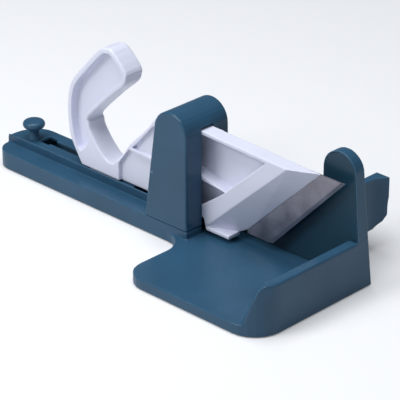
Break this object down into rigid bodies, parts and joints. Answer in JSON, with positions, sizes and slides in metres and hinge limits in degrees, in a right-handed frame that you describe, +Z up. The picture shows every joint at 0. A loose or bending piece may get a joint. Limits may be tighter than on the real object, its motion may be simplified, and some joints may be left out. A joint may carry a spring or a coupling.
{
  "type": "sausage guillotine",
  "caption": "Table-top sausage slicer: a hook-handled push slide carries a slanting blade along a moulded rail, through a guide arch, past a sausage channel above a slice tray.",
  "frame": {"origin": "centre of the object's footprint box, on the surface that it stands on", "axes": "+X along the rail from the handle to the end post, +Y from the tray to the sausage rest, +Z up"},
  "size_m": [0.4074, 0.1994, 0.1505],
  "materials": {
    "teal_plastic": "satin",
    "dark_plastic": "satin",
    "white_plastic": "satin",
    "blade_steel": "brushed",
    "screw_steel": "zinc plated",
    "rubber": "matte",
    "slippery_plastic": "smooth"
  },
  "bodies": {
    "root": {"base_tray": "teal_plastic", "guide_arch": "teal_plastic", "shear_plate": "dark_plastic", "sausage_rest": "teal_plastic", "arch_screw_1": "screw_steel", "arch_screw_2": "screw_steel", "arch_screw_3": "screw_steel", "arch_screw_4": "screw_steel", "rest_screw_1": "screw_steel", "rest_screw_2": "screw_steel", "foot_1": "rubber", "foot_2": "rubber", "foot_3": "rubber", "foot_4": "rubber", "foot_5": "rubber", "foot_6": "rubber"},
    "carriage": {"slide_body": "white_plastic", "blade": "blade_steel", "blade_screw_1": "screw_steel", "blade_screw_2": "screw_steel", "blade_screw_3": "screw_steel", "guide_shoe": "slippery_plastic", "shoe_plate": "screw_steel", "shoe_screw": "screw_steel"},
    "stop_peg": {"stop_peg": "teal_plastic", "peg_ring": "rubber"}
  },
  "joints": [
    {"name": "carriage_slide", "type": "slide", "parent": "root", "child": "carriage", "axis": [-1, 0, 0], "range_m": [0, 0.051]},
    {"name": "stop_peg_lift", "type": "slide", "parent": "root", "child": "stop_peg", "axis": [0, 0, 1], "range_m": [0, 0.004]}
  ]
}
